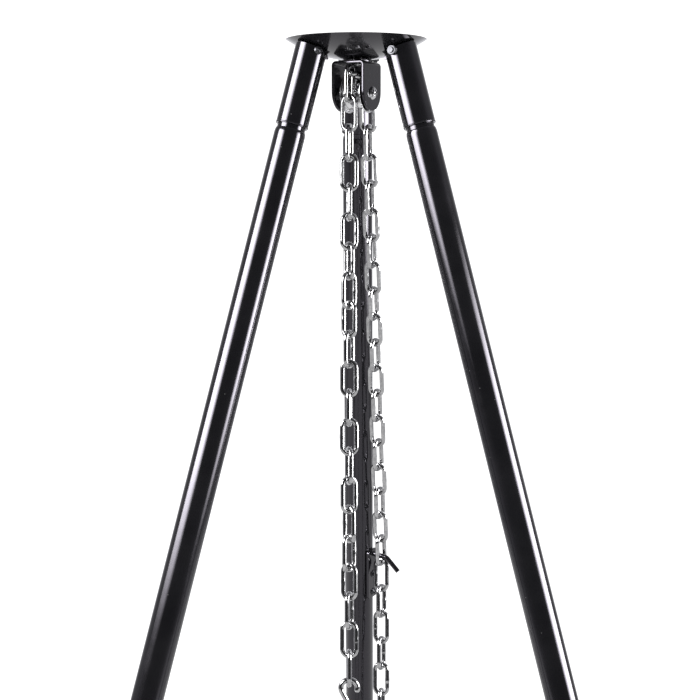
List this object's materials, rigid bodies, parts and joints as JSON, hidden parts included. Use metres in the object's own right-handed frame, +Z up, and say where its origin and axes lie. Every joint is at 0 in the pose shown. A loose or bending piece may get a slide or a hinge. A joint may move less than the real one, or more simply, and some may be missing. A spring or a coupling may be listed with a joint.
{
  "type": "campfire tripod grate",
  "caption": "Three-legged campfire tripod with a dish head, a chain over a pulley hooked to one leg, and a round swinging grate.",
  "frame": {"origin": "on the floor, in the middle of the box around the object; the tripod's own axis is 138.7 mm in front of it", "axes": "+Z up, +Y towards the leg that carries the chain hook, +X to the right seen from the front"},
  "size_m": [0.9958, 0.8669, 1.8],
  "materials": {
    "black_coat": "glossy black powder coat on steel",
    "black_screw": "black-finished steel screws",
    "zinc_chain": "bright zinc plating",
    "zinc_wheel": "bright turned and plated steel",
    "zinc_fastener": "bright zinc plating",
    "grate_steel": "bright chromed steel wire",
    "foot_plastic": "matt black plastic"
  },
  "bodies": {
    "head": {"head_dish": "black_coat", "leg_lug_left": "black_coat", "leg_lug_right": "black_coat", "leg_lug_back": "black_coat", "pulley_bracket": "black_coat", "axle_screw": "zinc_fastener", "axle_nut": "zinc_fastener", "axle_bush": "zinc_fastener", "axle_washer": "zinc_fastener", "bracket_bolt": "zinc_fastener", "bracket_nut": "zinc_fastener", "bracket_washers": "zinc_fastener", "pivot_bolts": "black_screw", "pivot_nuts": "black_screw", "chain_over_wheel": "zinc_chain"},
    "wheel": {"pulley_wheel": "zinc_wheel"},
    "leg_left": {"leg_sleeve_left": "black_coat"},
    "leg_right": {"leg_sleeve_right": "black_coat"},
    "leg_back": {"leg_sleeve_back": "black_coat", "upper_tube_back": "black_coat", "chain_hook": "black_coat", "hook_screws": "black_screw"},
    "upper_leg_left": {"upper_tube_left": "black_coat"},
    "upper_leg_right": {"upper_tube_right": "black_coat"},
    "lower_leg_left": {"lower_tube_left": "black_coat", "foot_left": "foot_plastic"},
    "lower_leg_right": {"lower_tube_right": "black_coat", "foot_right": "foot_plastic"},
    "lower_leg_back": {"lower_tube_back": "black_coat", "foot_back": "foot_plastic"},
    "load_link": {"load_chain_first_link": "zinc_chain"},
    "load_strand": {"load_chain": "zinc_chain"},
    "hanger": {"s_hook": "zinc_chain"},
    "grate": {"grate_ring": "grate_steel", "grate_chain_1": "grate_steel", "grate_chain_2": "grate_steel", "grate_chain_3": "grate_steel", "grate_rim": "grate_steel", "grate_bars": "grate_steel", "grate_cross_bars": "grate_steel", "grate_eyes": "grate_steel"},
    "control_strand": {"control_chain": "zinc_chain", "hooked_link": "zinc_chain"},
    "tail": {"chain_tail": "zinc_chain"}
  },
  "joints": [
    {"name": "leg_fold_left", "type": "hinge", "parent": "head", "child": "leg_left", "pos_m": [-0.04044, -0.16203, 1.787], "axis": [0.5, -0.866, 0], "range_deg": [0, 3.5]},
    {"name": "leg_fold_right", "type": "hinge", "parent": "head", "child": "leg_right", "pos_m": [0.04044, -0.16203, 1.787], "axis": [0.5, 0.866, 0], "range_deg": [0, 3.5]},
    {"name": "leg_fold_back", "type": "hinge", "parent": "head", "child": "leg_back", "pos_m": [0, -0.09198, 1.787], "axis": [-1, 0, 0], "range_deg": [0, 3.5]},
    {"name": "upper_pull_left", "type": "slide", "parent": "leg_left", "child": "upper_leg_left", "axis": [-0.2368, -0.1367, -0.9619], "range_m": [0, 0.045]},
    {"name": "lower_pull_left", "type": "slide", "parent": "upper_leg_left", "child": "lower_leg_left", "axis": [-0.2368, -0.1367, -0.9619], "range_m": [0, 0.045]},
    {"name": "upper_pull_right", "type": "slide", "parent": "leg_right", "child": "upper_leg_right", "axis": [0.2368, -0.1367, -0.9619], "range_m": [0, 0.045]},
    {"name": "lower_pull_right", "type": "slide", "parent": "upper_leg_right", "child": "lower_leg_right", "axis": [0.2368, -0.1367, -0.9619], "range_m": [0, 0.045]},
    {"name": "lower_pull_back", "type": "slide", "parent": "leg_back", "child": "lower_leg_back", "axis": [0, 0.2735, -0.9619], "range_m": [0, 0.045]},
    {"name": "wheel_spin", "type": "hinge", "parent": "head", "child": "wheel", "pos_m": [0.0018, -0.13954, 1.7515], "axis": [0.9026, -0.4305, 0], "continuous": true},
    {"name": "swing_fore", "type": "hinge", "parent": "head", "child": "load_link", "pos_m": [-0.00609, -0.1561, 1.74602], "axis": [0.9026, -0.4305, 0], "range_deg": [-2.5, 2.5]},
    {"name": "swing_side", "type": "hinge", "parent": "load_link", "child": "load_strand", "pos_m": [-0.00609, -0.1561, 1.71962], "axis": [0.4305, 0.9026, 0], "range_deg": [-2.5, 2.5]},
    {"name": "hanger_turn", "type": "hinge", "parent": "load_strand", "child": "hanger", "pos_m": [-0.00609, -0.1561, 1.21802], "axis": [0, 0, 1], "range_deg": [-12, 12]},
    {"name": "grate_turn", "type": "hinge", "parent": "hanger", "child": "grate", "pos_m": [-0.00609, -0.1561, 1.17893], "axis": [0, 0, 1], "range_deg": [-15, 15]},
    {"name": "control_swing", "type": "hinge", "parent": "head", "child": "control_strand", "pos_m": [0.00981, -0.12162, 1.74625], "axis": [-1, 0, 0], "range_deg": [0, 3.77]},
    {"name": "tail_swing", "type": "hinge", "parent": "control_strand", "child": "tail", "pos_m": [0.02249, 0.03318, 1.29716], "axis": [-1, 0, 0], "range_deg": [-4, 4]}
  ],
  "couplings": [
    {"joint": "control_swing", "follows": "leg_fold_back", "ratio": 1.0617}
  ]
}
